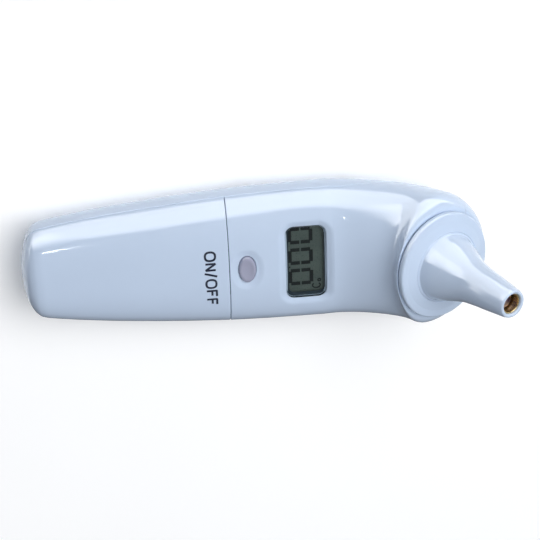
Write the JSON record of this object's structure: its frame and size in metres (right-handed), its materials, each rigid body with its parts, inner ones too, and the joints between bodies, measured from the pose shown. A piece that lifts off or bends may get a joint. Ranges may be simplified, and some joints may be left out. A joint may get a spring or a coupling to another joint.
{
  "type": "infrared ear thermometer",
  "caption": "Handheld infrared ear thermometer with a display, a power key, an angled head with a hollow flared probe and a sliding battery door.",
  "frame": {"origin": "centre of the flat land on the back that the thermometer lies on", "axes": "+X along the handle from the butt to the head, +Z out of the display, +Y across the handle"},
  "size_m": [0.1253, 0.038, 0.0537],
  "materials": {
    "rear_shell": "glossy white",
    "front_shell": "glossy white",
    "battery_door": "glossy white",
    "head_cap": "glossy white",
    "probe_nozzle": "glossy white",
    "waveguide": "polished gold plating",
    "sensor_can": "plain",
    "sensor_window": "dark infrared filter",
    "sensor_holder": "turned",
    "sensor_board": "solder mask",
    "sensor_flex": "polyimide film",
    "display_lens": "clear",
    "lcd_glass": "grey-green liquid crystal cell",
    "lcd_frame": "moulded",
    "zebra_strip_1": "layered conductive rubber",
    "zebra_strip_2": "layered conductive rubber",
    "main_pcb": "solder mask",
    "mcu_chip": "moulded package",
    "amplifier_chip": "moulded package",
    "crystal": "pressed can",
    "buzzer": "moulded",
    "power_button": "glossy white",
    "power_switch": "moulded",
    "power_plunger": "moulded",
    "scan_button": "glossy light blue",
    "scan_switch": "moulded",
    "scan_plunger": "moulded",
    "battery_holder": "moulded",
    "coin_cell": "nickel plated",
    "positive_contact": "plated spring strip",
    "negative_contact": "plated spring strip",
    "case_screw_1": "zinc plated",
    "case_screw_2": "zinc plated",
    "case_screw_3": "zinc plated",
    "case_screw_4": "zinc plated",
    "pcb_screw_1": "zinc plated",
    "pcb_screw_2": "zinc plated"
  },
  "bodies": {
    "housing": {"rear_shell": "rear_shell", "front_shell": "front_shell", "head_cap": "head_cap", "probe_nozzle": "probe_nozzle", "waveguide": "waveguide", "sensor_can": "sensor_can", "sensor_window": "sensor_window", "sensor_holder": "sensor_holder", "sensor_board": "sensor_board", "sensor_flex": "sensor_flex", "display_lens": "display_lens", "lcd_glass": "lcd_glass", "lcd_frame": "lcd_frame", "zebra_strip_1": "zebra_strip_1", "zebra_strip_2": "zebra_strip_2", "main_pcb": "main_pcb", "mcu_chip": "mcu_chip", "amplifier_chip": "amplifier_chip", "crystal": "crystal", "buzzer": "buzzer", "power_switch": "power_switch", "scan_switch": "scan_switch", "battery_holder": "battery_holder", "coin_cell": "coin_cell", "positive_contact": "positive_contact", "negative_contact": "negative_contact", "case_screw_1": "case_screw_1", "case_screw_2": "case_screw_2", "case_screw_3": "case_screw_3", "case_screw_4": "case_screw_4", "pcb_screw_1": "pcb_screw_1", "pcb_screw_2": "pcb_screw_2"},
    "power_key": {"power_button": "power_button", "power_plunger": "power_plunger"},
    "scan_key": {"scan_button": "scan_button", "scan_plunger": "scan_plunger"},
    "door": {"battery_door": "battery_door"}
  },
  "joints": [
    {"name": "power_press", "type": "slide", "parent": "housing", "child": "power_key", "axis": [0, 0, -1], "range_m": [0, 0.0005], "stiffness_N_per_m": 800},
    {"name": "scan_press", "type": "slide", "parent": "housing", "child": "scan_key", "axis": [0, 0, 1], "range_m": [0, 0.0005], "stiffness_N_per_m": 800},
    {"name": "door_slide", "type": "slide", "parent": "housing", "child": "door", "axis": [-1, 0, 0], "range_m": [0, 0.065]}
  ]
}
